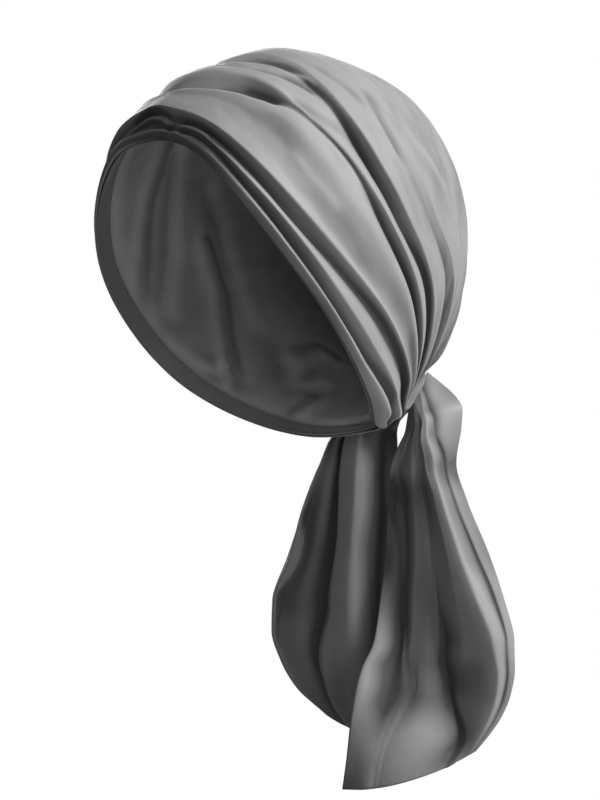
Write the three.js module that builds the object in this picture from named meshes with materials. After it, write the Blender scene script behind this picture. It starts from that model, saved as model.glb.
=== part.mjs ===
// A pre-tied turban of plain pleated cloth with two hanging tails, in millimetres, +Z up.
// The wearer faces -Y and +X is the wearer's left. The origin is on the inside of the crown,
// where the lining rests on the top of the head.
//
// The cap is described by rings. Ring 0 is the rim round the face and the nape, and ring 1 is the
// point where the crown meets the knot. A ring is read at an angle: 0 at the front, 180 at the nape.
import * as THREE from "three";

const CLOTH = 1.6; // thickness of the outer cloth
const LINING_CLOTH = 1.1;
const BAND_CLOTH = 1.2;
const TAIL_CLOTH = 1.8;
const GAP = 0.3; // between pieces that touch
const BAND_WIDTH = 9; // the hem turned to the inside of the rim
const BAND_LAST_RING = 0.034; // the hem narrows to this ring where the nape is gathered

// Each row is a ring of the cap: its front and back points in the middle plane, half its width,
// how far its sides bow forwards and down, how much it narrows towards the back, and how far its
// back is drawn towards the knot.
const CAP_RINGS = [
  { ring: 0.0, frontY: -95, frontZ: -53, backY: 36, backZ: -197, half: 82, bow: 23, narrow: 0.2, draw: 18 },
  { ring: 0.08, frontY: -84, frontZ: -33, backY: 47, backZ: -191, half: 82, bow: 17, narrow: 0.3, draw: 9.5 },
  { ring: 0.2, frontY: -55, frontZ: -11, backY: 59, backZ: -184, half: 80, bow: 9, narrow: 0.42, draw: 1.5 },
  { ring: 0.36, frontY: -13, frontZ: 3.6, backY: 63, backZ: -179, half: 77, bow: 3, narrow: 0.5, draw: 0 },
  { ring: 0.52, frontY: 33, frontZ: -2.5, backY: 67, backZ: -174, half: 70, bow: 0, narrow: 0.55, draw: 0 },
  { ring: 0.68, frontY: 71, frontZ: -32, backY: 70, backZ: -170, half: 54, bow: 0, narrow: 0.57, draw: 0 },
  { ring: 0.84, frontY: 85, frontZ: -80, backY: 74, backZ: -165, half: 38, bow: 0, narrow: 0.5, draw: 0 },
  { ring: 0.95, frontY: 93, frontZ: -125, backY: 77, backZ: -162, half: 19, bow: 0, narrow: 0.35, draw: 0 },
  { ring: 1.0, frontY: 83, frontZ: -157, backY: 83, backZ: -157, half: 0, bow: 0, narrow: 0, draw: 0 },
];
const NARROW_REACH = 0.9; // radians before the nape over which a ring narrows
const DRAW_REACH = 0.3; // and over which it is drawn to the knot
const DRAW_Y = 0.94; // direction of that pull
const DRAW_Z = 0.34;

// The wearer's right side of the rim stands out further than the left, by these shares of its reach.
const FAR_SIDE_PLACES = [0, 20, 60, 90, 120, 150, 180]; // degrees from the front
const FAR_SIDE_SHARES = [0, 0.038, 0.05, 0.017, 0.031, 0.022, 0];
const FAR_SIDE_RINGS = 0.3; // rings over which that fades
const LINING_FAR_SHARE = 0.5; // how much of it the lining follows

// The lining is an inner cap of its own, given by its inside face in the same way.
const LINING_RINGS = [
  { ring: 0.0, frontY: -86, frontZ: -45, backY: 51, backZ: -187, half: 77, bow: 19, narrow: 0.2, draw: 0 },
  { ring: 0.1, frontY: -75, frontZ: -31, backY: 54, backZ: -178, half: 74, bow: 14, narrow: 0.36, draw: 0 },
  { ring: 0.22, frontY: -52, frontZ: -17, backY: 60, backZ: -168, half: 71, bow: 8, narrow: 0.38, draw: 0 },
  { ring: 0.4, frontY: -8, frontZ: 0, backY: 66, backZ: -156, half: 69, bow: 2, narrow: 0.3, draw: 0 },
  { ring: 0.58, frontY: 32, frontZ: -9, backY: 70, backZ: -147, half: 61, bow: 0, narrow: 0.2, draw: 0 },
  { ring: 0.76, frontY: 66, frontZ: -38, backY: 74, backZ: -137, half: 44, bow: 0, narrow: 0.1, draw: 0 },
  { ring: 0.9, frontY: 78, frontZ: -78, backY: 77, backZ: -122, half: 24, bow: 0, narrow: 0, draw: 0 },
  { ring: 1.0, frontY: 79, frontZ: -104, backY: 79, backZ: -104, half: 0, bow: 0, narrow: 0, draw: 0 },
];
const LINING_LEAD_IN = 0.12; // rings over which the lining leaves the hem

// Each row is the line of a fold: the ring that it runs along at five places round the cap, and how
// far the cloth stands out (or in, below 0) there. A groove is creased and a ridge is round. Steps
// are those of the mesh from this line to the next.
const PLACES = { crown: 0, temple: 50, ear: 90, behind: 115, nape: 140 }; // degrees
const FOLDS = [
  { form: "flat", steps: 1, ring: { crown: 0, temple: 0, ear: 0, behind: 0, nape: 0 },
    rise: { crown: 0, temple: 0, ear: 0, nape: 0 } },
  { form: "flat", steps: 1, ring: { crown: 0.025, temple: 0.025, ear: 0.027, behind: 0.032, nape: 0.05 },
    rise: { crown: 0, temple: 0, ear: 0, nape: 0 } },
  { form: "groove", steps: 2, ring: { crown: 0.031, temple: 0.032, ear: 0.034, behind: 0.045, nape: 0.075 },
    rise: { crown: -1.2, temple: -1.2, ear: -1.2, nape: -1.2 } },
  { form: "ridge", steps: 2, ring: { crown: 0.043, temple: 0.042, ear: 0.052, behind: 0.07, nape: 0.105 },
    rise: { crown: 0.3, temple: 0.3, ear: 1.4, nape: 1.6 } },
  { form: "groove", steps: 3, ring: { crown: 0.07, temple: 0.053, ear: 0.094, behind: 0.125, nape: 0.17 },
    rise: { crown: -2.6, temple: -2.6, ear: -3.2, nape: -3.2 } },
  { form: "ridge", steps: 2, ring: { crown: 0.095, temple: 0.078, ear: 0.118, behind: 0.15, nape: 0.195 },
    rise: { crown: 2.5, temple: 2.8, ear: 2.6, nape: 2.6 } },
  { form: "flat", steps: 2, ring: { crown: 0.113, temple: 0.125, ear: 0.155, behind: 0.2, nape: 0.222 },
    rise: { crown: 0.5, temple: 1.8, ear: 1.9, nape: 2 } },
  { form: "ridge", steps: 2, ring: { crown: 0.132, temple: 0.168, ear: 0.203, behind: 0.24, nape: 0.24 },
    rise: { crown: -1.4, temple: 1.2, ear: 2.4, nape: 2.6 } },
  { form: "groove", steps: 2, ring: { crown: 0.153, temple: 0.192, ear: 0.226, behind: 0.275, nape: 0.27 },
    rise: { crown: -2.4, temple: -0.6, ear: -3.2, nape: -3.5 } },
  { form: "ridge", steps: 1, ring: { crown: 0.172, temple: 0.213, ear: 0.282, behind: 0.345, nape: 0.295 },
    rise: { crown: 2, temple: 1.6, ear: 1.4, nape: 1.6 } },
  { form: "groove", steps: 2, ring: { crown: 0.182, temple: 0.264, ear: 0.293, behind: 0.365, nape: 0.325 },
    rise: { crown: 0.8, temple: -2.2, ear: -3.3, nape: -2.6 } },
  { form: "ridge", steps: 2, ring: { crown: 0.2, temple: 0.298, ear: 0.343, behind: 0.4, nape: 0.36 },
    rise: { crown: 1.7, temple: 2, ear: 1.6, nape: 1.6 } },
  { form: "flat", steps: 2, ring: { crown: 0.228, temple: 0.35, ear: 0.398, behind: 0.48, nape: 0.43 },
    rise: { crown: -1.2, temple: 0, ear: -1.2, nape: -1 } },
  { form: "ridge", steps: 2, ring: { crown: 0.275, temple: 0.405, ear: 0.45, behind: 0.58, nape: 0.52 },
    rise: { crown: 0.8, temple: 0.6, ear: 0.9, nape: 0.8 } },
  { form: "flat", steps: 8, ring: { crown: 0.4, temple: 0.52, ear: 0.57, behind: 0.7, nape: 0.64 },
    rise: { crown: 0, temple: 0, ear: 0, nape: 0 } },
  { form: "flat", steps: 0, ring: { crown: 1, temple: 1, ear: 1, behind: 1, nape: 1 },
    rise: { crown: 0, temple: 0, ear: 0, nape: 0 } },
];
const NAPE_FADE = 0.25; // share of a fold's height that is left where the sides meet at the nape
const WRAP_COLUMNS = 48; // angles round a ring of the outer cloth and of its hem
const LINING_ROWS = 14;
const LINING_COLUMNS = 36;
const LAST_RING = 0.999; // stands for ring 1, where a ring has shrunk to a point
const NAPE_CROWDING = 0.25; // how much closer the angles lie near the nape

// The knot is a short roll that lies along the gathered nape. The tails hang from under it.
const KNOT = { x: 0, y: 78, z: -169.5 };
const KNOT_ROLL = { radius: 5, halfLength: 12, widen: 1.5, lean: 52, bluntness: 0.6 };
const KNOT_WINDING = { turns: 3, groove: 0.6 };
const KNOT_MESH = { sides: 20, steps: 14 };

// Each row is a line across a tail from its left edge to its right edge as the tail is looked at.
// Across is measured from the knot along the tail's own direction, drop is below the knot and out is
// towards the looker. Each fold is a line down the tail: its share of the way across at a few of the
// rows, which places names, and how far the cloth stands out there. Its steps are those of the mesh
// from this line to the next.
const TAIL_LEFT = {
  facing: 41, // degrees that the tail's width is turned from +X towards +Y
  rows: [
    { leftAcross: 0, leftDrop: 7, rightAcross: 9, rightDrop: -4, out: -5 },
    { leftAcross: -3, leftDrop: 13, rightAcross: 19, rightDrop: -1, out: -3 },
    { leftAcross: -6, leftDrop: 20, rightAcross: 23.5, rightDrop: 8, out: 0 },
    { leftAcross: -10, leftDrop: 28.5, rightAcross: 23, rightDrop: 18.5, out: 2 },
    { leftAcross: -14, leftDrop: 40, rightAcross: 21, rightDrop: 37, out: 3 },
    { leftAcross: -16, leftDrop: 57, rightAcross: 27, rightDrop: 57.5, out: 5 },
    { leftAcross: -17.5, leftDrop: 83, rightAcross: 37.5, rightDrop: 84, out: 6 },
    { leftAcross: -19.5, leftDrop: 107, rightAcross: 45.5, rightDrop: 107, out: 6 },
    { leftAcross: -22, leftDrop: 131, rightAcross: 51.5, rightDrop: 131, out: 6 },
    { leftAcross: -28, leftDrop: 145, rightAcross: 52.5, rightDrop: 145, out: 5 },
    { leftAcross: -32, leftDrop: 159, rightAcross: 50, rightDrop: 159, out: 4 },
    { leftAcross: -34.5, leftDrop: 175, rightAcross: 45, rightDrop: 169, out: 3 },
    { leftAcross: -37, leftDrop: 192, rightAcross: 38, rightDrop: 179, out: 3 },
    { leftAcross: -40, leftDrop: 208, rightAcross: 30, rightDrop: 188, out: 3 },
  ],
  hemSag: 6, // how far the middle of the hem hangs below the line between its corners
  places: { knot: 0, neck: 3, throat: 5, middle: 7, belly: 8, low: 10, hem: 13 },
  folds: [
    { form: "flat", steps: 1,
      at: { knot: 0, neck: 0, throat: 0, middle: 0, belly: 0, low: 0, hem: 0 },
      rise: { knot: 0, neck: -2, throat: -5, middle: -1, belly: 0, low: 0, hem: -1 } },
    { form: "ridge", steps: 1,
      at: { knot: 0.08, throat: 0.06, middle: 0.06, low: 0.06, hem: 0.1 },
      rise: { knot: 0, neck: -1.5, throat: -4.5, middle: 2, belly: 3, low: 2.5, hem: 0 } },
    { form: "flat", steps: 3,
      at: { knot: 0.16, throat: 0.12, middle: 0.17, low: 0.17, hem: 0.22 },
      rise: { knot: 0, neck: -1, throat: -3.5, middle: -2, belly: -1.5, low: -1, hem: -1 } },
    { form: "ridge", steps: 1,
      at: { knot: 0.27, neck: 0.3, throat: 0.39, middle: 0.4, low: 0.35, hem: 0.32 },
      rise: { knot: 0.4, neck: 1.5, throat: 3, middle: 3, belly: 3.5, low: 3.5, hem: 0.5 } },
    { form: "flat", steps: 2,
      at: { knot: 0.34, neck: 0.36, throat: 0.46, middle: 0.49, low: 0.54, hem: 0.7 },
      rise: { knot: 0, neck: 0.5, throat: 2, middle: -1, belly: -1.5, low: -1.5, hem: -1 } },
    { form: "groove", steps: 2,
      at: { knot: 0.42, neck: 0.44, throat: 0.58, middle: 0.63, low: 0.73, hem: 0.8 },
      rise: { knot: -0.4, neck: -1.5, throat: -1.5, middle: -3.5, belly: -4, low: -3.5, hem: -1 } },
    { form: "ridge", steps: 3,
      at: { knot: 0.55, neck: 0.57, throat: 0.69, middle: 0.81, low: 0.87, hem: 0.9 },
      rise: { knot: 0.6, neck: 3, throat: 4.5, middle: 3.5, belly: 1.5, low: 1, hem: 0 } },
    { form: "flat", steps: 0,
      at: { knot: 1, neck: 1, throat: 1, middle: 1, belly: 1, low: 1, hem: 1 },
      rise: { knot: 0, neck: 0.5, throat: -0.5, middle: -3, belly: -4, low: -2, hem: -1 } },
  ],
};
const TAIL_RIGHT = {
  facing: 25,
  rows: [
    { leftAcross: -8, leftDrop: 12, rightAcross: 0, rightDrop: 11.5, out: 3 },
    { leftAcross: -30, leftDrop: 14, rightAcross: -6, rightDrop: 15, out: 1 },
    { leftAcross: -50, leftDrop: 19, rightAcross: -13, rightDrop: 22, out: 0 },
    { leftAcross: -61, leftDrop: 37, rightAcross: -15, rightDrop: 39, out: 0 },
    { leftAcross: -71, leftDrop: 60, rightAcross: -15.5, rightDrop: 60.5, out: -1 },
    { leftAcross: -81, leftDrop: 84, rightAcross: -16, rightDrop: 84, out: -2 },
    { leftAcross: -90, leftDrop: 108.5, rightAcross: -16, rightDrop: 112, out: -2 },
    { leftAcross: -90.5, leftDrop: 125, rightAcross: -16, rightDrop: 130.5, out: -2 },
    { leftAcross: -85, leftDrop: 141, rightAcross: -16.5, rightDrop: 152, out: -2 },
    { leftAcross: -74, leftDrop: 157, rightAcross: -16.5, rightDrop: 170, out: -2 },
    { leftAcross: -58, leftDrop: 169, rightAcross: -16.5, rightDrop: 180, out: -2 },
  ],
  hemSag: 3,
  places: { knot: 0, neck: 2, middle: 4, belly: 6, low: 8, hem: 10 },
  folds: [
    { form: "flat", steps: 1,
      at: { knot: 0, neck: 0, middle: 0, belly: 0, low: 0, hem: 0 },
      rise: { knot: 0, neck: -1, middle: -2, belly: -1, low: -1, hem: -1 } },
    { form: "ridge", steps: 2,
      at: { knot: 0.12, neck: 0.08, middle: 0.08, belly: 0.06, low: 0.06, hem: 0.08 },
      rise: { knot: 0, neck: 0, middle: 1.5, belly: 1, low: 0.3, hem: 0 } },
    { form: "flat", steps: 2,
      at: { knot: 0.22, neck: 0.18, middle: 0.3, belly: 0.32, low: 0.28, hem: 0.3 },
      rise: { knot: 0, neck: 0, middle: 0, belly: 0, low: 0, hem: 0 } },
    { form: "groove", steps: 2,
      at: { knot: 0.35, neck: 0.25, middle: 0.45, belly: 0.49, low: 0.42, hem: 0.42 },
      rise: { knot: -0.5, neck: -3, middle: -4, belly: -3, low: -1.2, hem: -0.4 } },
    { form: "ridge", steps: 3,
      at: { knot: 0.5, neck: 0.44, middle: 0.6, belly: 0.64, low: 0.62, hem: 0.62 },
      rise: { knot: 0.5, neck: 2.5, middle: 3.5, belly: 3, low: 1.2, hem: 0.4 } },
    { form: "flat", steps: 2,
      at: { knot: 0.75, neck: 0.72, middle: 0.78, belly: 0.76, low: 0.74, hem: 0.75 },
      rise: { knot: -0.5, neck: -2, middle: -2.5, belly: -2.5, low: -1, hem: -0.4 } },
    { form: "flat", steps: 0,
      at: { knot: 1, neck: 1, middle: 1, belly: 1, low: 1, hem: 1 },
      rise: { knot: 0, neck: 0, middle: 0, belly: 0, low: 0, hem: 0 } },
  ],
};
const HEM_SHARE = 0.25; // the last part of a tail over which the sag of its hem comes in

// A smooth curve through one column of a table. It never swings past the values in the table.
// Where the other half of the cap mirrors it, it starts level.
function curve(places, values, { startsLevel = false } = {}) {
  const last = places.length - 1;
  const rises = values.slice(1).map((value, i) => (value - values[i]) / (places[i + 1] - places[i]));
  const slopes = values.map((_, i) => {
    if (i === 0) return startsLevel ? 0 : rises[0];
    if (i === last) return rises[last - 1];
    const [before, after] = [rises[i - 1], rises[i]];
    return before * after <= 0 ? 0 : (2 * before * after) / (before + after);
  });
  return (place) => {
    if (place <= places[0]) return values[0];
    if (place >= places[last]) return values[last];
    const i = places.findIndex((next) => next > place) - 1;
    const width = places[i + 1] - places[i];
    const u = (place - places[i]) / width;
    const start = values[i] * (1 - u) ** 2 * (1 + 2 * u) + slopes[i] * width * u * (1 - u) ** 2;
    return start + values[i + 1] * u ** 2 * (3 - 2 * u) + slopes[i + 1] * width * u ** 2 * (u - 1);
  };
}

// One curve for each named column of a table, all read at the table's key column.
function curves(table, key) {
  const places = table.map((row) => row[key]);
  const columns = Object.keys(table[0]).filter((name) => name !== key);
  return Object.fromEntries(columns.map((name) => [name, curve(places, table.map((row) => row[name]))]));
}

const farSide = curve(FAR_SIDE_PLACES.map(THREE.MathUtils.degToRad), FAR_SIDE_SHARES, { startsLevel: true });

// The point of a cap's ring at an angle in radians, -PI to PI.
function ringPoint(columns, ring, angle) {
  const frontY = columns.frontY(ring);
  const frontZ = columns.frontZ(ring);
  const backY = columns.backY(ring);
  const backZ = columns.backZ(ring);
  const reachY = (frontY - backY) / 2;
  const reachZ = (frontZ - backZ) / 2;
  const reach = Math.hypot(reachY, reachZ) || 1;
  const rest = Math.PI - Math.abs(angle);
  const narrow = columns.narrow(ring) * Math.exp(-((rest / NARROW_REACH) ** 2));
  const draw = columns.draw(ring) * Math.exp(-((rest / DRAW_REACH) ** 2));
  const bow = (columns.bow(ring) * Math.sin(angle) ** 2) / reach;
  const rimShare = Math.max(0, 1 - ring / FAR_SIDE_RINGS);
  const wider = 1 + columns.farShare * farSide(Math.max(0, -angle)) * rimShare;
  return new THREE.Vector3(
    wider * columns.half(ring) * Math.sin(angle) * (1 - narrow),
    (frontY + backY) / 2 + wider * (reachY * Math.cos(angle) - bow * reachZ) + draw * DRAW_Y,
    (frontZ + backZ) / 2 + wider * (reachZ * Math.cos(angle) + bow * reachY) + draw * DRAW_Z,
  );
}

// The same point moved out of the cap by a height, square to the surface.
function raisedPoint(columns, ring, angle, height) {
  const small = 0.002;
  const from = Math.max(0, ring - small);
  const to = Math.min(1, ring + small);
  const along = ringPoint(columns, to, angle).sub(ringPoint(columns, from, angle));
  const round = ringPoint(columns, ring, angle + small).sub(ringPoint(columns, ring, angle - small));
  const outward = round.cross(along).normalize();
  return ringPoint(columns, ring, angle).addScaledVector(outward, height);
}

// The height between two lines of folds: round at a ridge, creased at a groove.
function foldHeight(here, next, formHere, formNext, u) {
  let share = (1 - Math.cos(Math.PI * u)) / 2;
  if (formHere === "groove" && formNext !== "groove") share = Math.sin((Math.PI * u) / 2);
  if (formNext === "groove" && formHere !== "groove") share = 1 - Math.cos((Math.PI * u) / 2);
  return here + (next - here) * share;
}

// Steps of a mesh between the rows of a table, as pairs of a row and a share of the way on.
function stepsBetween(rows) {
  const steps = rows.flatMap((row, index) =>
    Array.from({ length: row.steps }, (_, i) => ({ index, share: i / row.steps })));
  return [...steps, { index: rows.length - 2, share: 1 }];
}

// Angles round a ring from -PI on, closer together near the nape.
function anglesRound(count) {
  return Array.from({ length: count }, (_, i) => {
    const side = (2 * i) / count - 1;
    const share = Math.abs(side);
    return Math.sign(side) * Math.PI * share * (1 + NAPE_CROWDING * (1 - share));
  });
}

// A closed body between an outer and an inner grid of points. Round grids close on themselves
// across, and a grid with a pole ends in one point.
function clothBody(outer, inner, { round = false, pole = false } = {}) {
  const points = [];
  const index = (grid) => grid.map((row, i) => {
    const isPole = pole && i === grid.length - 1;
    const kept = isPole ? [row[0]] : row;
    const start = points.length;
    kept.forEach((point) => points.push(point));
    return row.map((_, j) => start + (isPole ? 0 : j));
  });
  const [top, under] = [index(outer), index(inner)];
  const faces = [];
  const quad = (a, b, c, d) => {
    if (a !== b && b !== c && a !== c) faces.push([a, b, c]);
    if (a !== c && c !== d && a !== d) faces.push([a, c, d]);
  };
  const rows = outer.length;
  const columns = outer[0].length;
  const spans = round ? columns : columns - 1;
  for (let i = 0; i < rows - 1; i += 1) {
    for (let j = 0; j < spans; j += 1) {
      const k = (j + 1) % columns;
      quad(top[i][j], top[i][k], top[i + 1][k], top[i + 1][j]);
      quad(under[i][k], under[i][j], under[i + 1][j], under[i + 1][k]);
    }
    if (!round) {
      quad(under[i][0], top[i][0], top[i + 1][0], under[i + 1][0]);
      quad(top[i][columns - 1], under[i][columns - 1], under[i + 1][columns - 1], top[i + 1][columns - 1]);
    }
  }
  for (let j = 0; j < spans; j += 1) {
    const k = (j + 1) % columns;
    quad(under[0][j], under[0][k], top[0][k], top[0][j]);
    if (!pole) quad(top[rows - 1][j], top[rows - 1][k], under[rows - 1][k], under[rows - 1][j]);
  }
  return bodyGeometry(points, faces);
}

// A geometry from points and triangles, turned so that its faces point out.
function bodyGeometry(points, faces) {
  const volume = faces.reduce((sum, [a, b, c]) =>
    sum + points[a].dot(points[b].clone().cross(points[c])), 0);
  const turned = volume < 0 ? faces.map(([a, b, c]) => [a, c, b]) : faces;
  const geometry = new THREE.BufferGeometry().setFromPoints(points);
  geometry.setIndex(turned.flat());
  geometry.computeVertexNormals();
  return geometry;
}

const cap = { ...curves(CAP_RINGS, "ring"), farShare: 1 };
const liningCap = { ...curves(LINING_RINGS, "ring"), farShare: LINING_FAR_SHARE };
const roundTheCap = (values) => {
  const angles = Object.keys(values).map((place) => THREE.MathUtils.degToRad(PLACES[place]));
  return curve(angles, Object.values(values), { startsLevel: true });
};
const foldLines = FOLDS.map((row) => ({
  form: row.form,
  ring: roundTheCap(row.ring),
  rise: roundTheCap(row.rise),
}));

// The outer cloth's ring and height at a step between two fold lines.
function foldedAt({ index, share }, angle) {
  const side = Math.abs(angle);
  const [here, next] = [foldLines[index], foldLines[index + 1]];
  const ring = THREE.MathUtils.lerp(here.ring(side), next.ring(side), share);
  const nape = THREE.MathUtils.smoothstep(side, THREE.MathUtils.degToRad(PLACES.nape), Math.PI);
  const fade = 1 - (1 - NAPE_FADE) * nape;
  const height = foldHeight(here.rise(side), next.rise(side), here.form, next.form, share);
  return { ring, height: height * fade };
}

function wrapGeometry() {
  const angles = anglesRound(WRAP_COLUMNS);
  const layer = (depth) => stepsBetween(FOLDS).map((step) => angles.map((angle) => {
    const { ring, height } = foldedAt(step, angle);
    return raisedPoint(cap, Math.min(ring, LAST_RING), angle, height - depth);
  }));
  return clothBody(layer(0), layer(CLOTH), { round: true, pole: true });
}

// The ring that lies a distance in from the rim, along the cloth.
function ringInFromRim(distance, angle) {
  const step = 0.01;
  const speed = ringPoint(cap, step, angle).distanceTo(ringPoint(cap, 0, angle)) / step;
  return Math.min(distance / speed, (BAND_LAST_RING * distance) / BAND_WIDTH);
}

function rimBandGeometry() {
  const angles = anglesRound(WRAP_COLUMNS);
  // The hem lies against the cloth at the rim and leaves it a little, clear of the first groove.
  const leaving = { start: 0, middle: 0.6, end: 1.7 };
  const places = [[0, leaving.start], [BAND_WIDTH / 2, leaving.middle], [BAND_WIDTH, leaving.end]];
  const layer = (depth) => places.map(([distance, away]) => angles.map((angle) =>
    raisedPoint(cap, ringInFromRim(distance, angle), angle, -CLOTH - GAP - away - depth)));
  return clothBody(layer(0), layer(BAND_CLOTH), { round: true });
}

function liningGeometry() {
  const angles = anglesRound(LINING_COLUMNS);
  const firstRing = 0.042;
  const firstDepth = 4.3;
  const crowding = 1.25; // the rows lie closer together near the hem
  const layer = (height) => Array.from({ length: LINING_ROWS + 1 }, (_, i) => angles.map((angle) => {
    const ring = (i / LINING_ROWS) ** crowding;
    const point = raisedPoint(liningCap, Math.min(ring, LAST_RING), angle, height);
    const edge = raisedPoint(cap, firstRing, angle, height - firstDepth - LINING_CLOTH);
    const lead = Math.max(0, 1 - ring / LINING_LEAD_IN) ** 2;
    return point.addScaledVector(edge.sub(raisedPoint(liningCap, 0, angle, height)), lead);
  }));
  return clothBody(layer(LINING_CLOTH), layer(0), { round: true, pole: true });
}

// The knot is a blunt roll with shallow grooves where it is wound, leaning back to the crown.
function knotGeometry() {
  const { radius, halfLength, widen, lean, bluntness } = KNOT_ROLL;
  const { turns, groove } = KNOT_WINDING;
  const { sides, steps } = KNOT_MESH;
  const profile = Array.from({ length: steps + 1 }, (_, i) => {
    const turn = Math.PI * (i / steps);
    const wound = (groove * (1 - Math.cos(2 * turns * turn))) / 2;
    const out = i % steps === 0 ? 0 : (radius - wound) * Math.sin(turn) ** bluntness;
    return new THREE.Vector2(out, -halfLength * Math.cos(turn));
  });
  const geometry = new THREE.LatheGeometry(profile, sides);
  geometry.scale(widen, 1, 1);
  geometry.rotateX(THREE.MathUtils.degToRad(lean));
  return geometry;
}

// A tail is one panel, pleated at the knot and falling open towards its hem.
function tailGeometry(tail) {
  const lastRow = tail.rows.length - 1;
  const row = curves(tail.rows.map((values, place) => ({ ...values, place })), "place");
  const downTheTail = (values) =>
    curve(Object.keys(values).map((name) => tail.places[name]), Object.values(values));
  const lines = tail.folds.map(({ form, at, rise }) =>
    ({ form, at: downTheTail(at), rise: downTheTail(rise) }));
  const facing = THREE.MathUtils.degToRad(tail.facing);
  const across = new THREE.Vector3(Math.cos(facing), Math.sin(facing), 0);
  const towards = new THREE.Vector3(Math.sin(facing), -Math.cos(facing), 0);
  const layer = (height) => tail.rows.map((_, place) => stepsBetween(tail.folds).map(({ index, share }) => {
    const [here, next] = [lines[index], lines[index + 1]];
    const at = THREE.MathUtils.lerp(here.at(place), next.at(place), share);
    const pleat = foldHeight(here.rise(place), next.rise(place), here.form, next.form, share);
    const sideways = THREE.MathUtils.lerp(row.leftAcross(place), row.rightAcross(place), at);
    const nearHem = Math.max(0, 1 - (1 - place / lastRow) / HEM_SHARE);
    const sag = tail.hemSag * nearHem * (1 - (2 * at - 1) ** 2);
    const drop = THREE.MathUtils.lerp(row.leftDrop(place), row.rightDrop(place), at) + sag;
    return new THREE.Vector3(KNOT.x, KNOT.y, KNOT.z - drop)
      .addScaledVector(across, sideways)
      .addScaledVector(towards, row.out(place) + pleat + height);
  }));
  return clothBody(layer(TAIL_CLOTH / 2), layer(-TAIL_CLOTH / 2));
}

const outerCloth = new THREE.MeshStandardMaterial({ color: 0x7a7a7c, roughness: 0.7, metalness: 0 });
const innerCloth = new THREE.MeshStandardMaterial({ color: 0x5c5c5e, roughness: 0.8, metalness: 0 });

function piece(name, geometry, material) {
  const mesh = new THREE.Mesh(geometry, material);
  mesh.name = name;
  return mesh;
}

const turban = new THREE.Group();
turban.add(piece("wrap", wrapGeometry(), outerCloth));
turban.add(piece("rim_band", rimBandGeometry(), innerCloth));
turban.add(piece("lining", liningGeometry(), innerCloth));
turban.add(piece("tail_left", tailGeometry(TAIL_LEFT), outerCloth));
turban.add(piece("tail_right", tailGeometry(TAIL_RIGHT), outerCloth));

const knot = piece("knot", knotGeometry(), outerCloth);
knot.position.set(KNOT.x, KNOT.y, KNOT.z);
turban.add(knot);

export default turban;
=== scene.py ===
# %% [markdown]
# A turban of grey jersey, worn form: a lined cap that is open to the face, pleats that all run to one
# small knot at the nape, and two wide tails that hang from the knot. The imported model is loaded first
# and stays where it is. Every piece made here takes the place of one of its nodes.

# %% Load the frame
import math

import bmesh
import bpy
import numpy as np
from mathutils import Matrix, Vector, noise


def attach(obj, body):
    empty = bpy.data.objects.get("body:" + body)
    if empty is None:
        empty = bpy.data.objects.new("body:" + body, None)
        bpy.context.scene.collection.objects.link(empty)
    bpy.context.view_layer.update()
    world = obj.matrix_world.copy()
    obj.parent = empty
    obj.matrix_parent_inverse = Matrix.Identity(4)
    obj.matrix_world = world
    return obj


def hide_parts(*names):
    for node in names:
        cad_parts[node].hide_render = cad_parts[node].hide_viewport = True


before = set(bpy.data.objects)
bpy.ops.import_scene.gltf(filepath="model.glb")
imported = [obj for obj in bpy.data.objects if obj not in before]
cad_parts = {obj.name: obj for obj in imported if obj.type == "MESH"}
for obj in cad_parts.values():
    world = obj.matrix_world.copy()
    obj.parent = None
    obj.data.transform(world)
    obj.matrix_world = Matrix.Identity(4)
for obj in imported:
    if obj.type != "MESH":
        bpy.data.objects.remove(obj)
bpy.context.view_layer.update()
MM = 0.001
print("nodes", sorted(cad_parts))

# %% [markdown]
# The camera comes first, because each fold is judged from it. The photograph looks up a little at the
# turban from its front left, from about a metre away with a long lens. The camera is aimed at the
# middle of the object, so that the picture needs no shift.

# %% Camera
PHOTO_HEIGHT = 800  # pixels, the long side, which the sensor's width belongs to
FOCAL_PIXELS = 2150
SENSOR_WIDTH = 36  # millimetres
VIEW_AZIMUTH = math.radians(55)
VIEW_ELEVATION = math.radians(-10)
VIEW_FROM = Vector((0, -17, -112)) * MM  # the camera's distance is measured to this point of the head
VIEW_DISTANCE = 1.1
VIEW_TARGET = Vector((-0.6, 2.5, -177.9)) * MM

to_camera = Vector((
    math.sin(VIEW_AZIMUTH) * math.cos(VIEW_ELEVATION),
    -math.cos(VIEW_AZIMUTH) * math.cos(VIEW_ELEVATION),
    math.sin(VIEW_ELEVATION),
))
camera_data = bpy.data.cameras.new("camera")
camera_data.sensor_width = SENSOR_WIDTH
camera_data.lens = FOCAL_PIXELS / PHOTO_HEIGHT * SENSOR_WIDTH
camera = bpy.data.objects.new("camera", camera_data)
camera.location = VIEW_FROM + to_camera * VIEW_DISTANCE
camera.rotation_euler = (VIEW_TARGET - camera.location).to_track_quat("-Z", "Y").to_euler()
bpy.context.scene.collection.objects.link(camera)
bpy.context.scene.camera = camera
print("lens", round(camera_data.lens, 1), "mm")

# %% [markdown]
# Cloth like this is easiest to think of as one smooth surface with folds laid over it. The smooth
# surface is a stack of rings, from the rim of the opening to the point where the crown meets the knot.
# A short table says where each ring's front and back lie, and a curve that never swings past its
# values fills in the rest, so a change to one row stays local.

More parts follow.
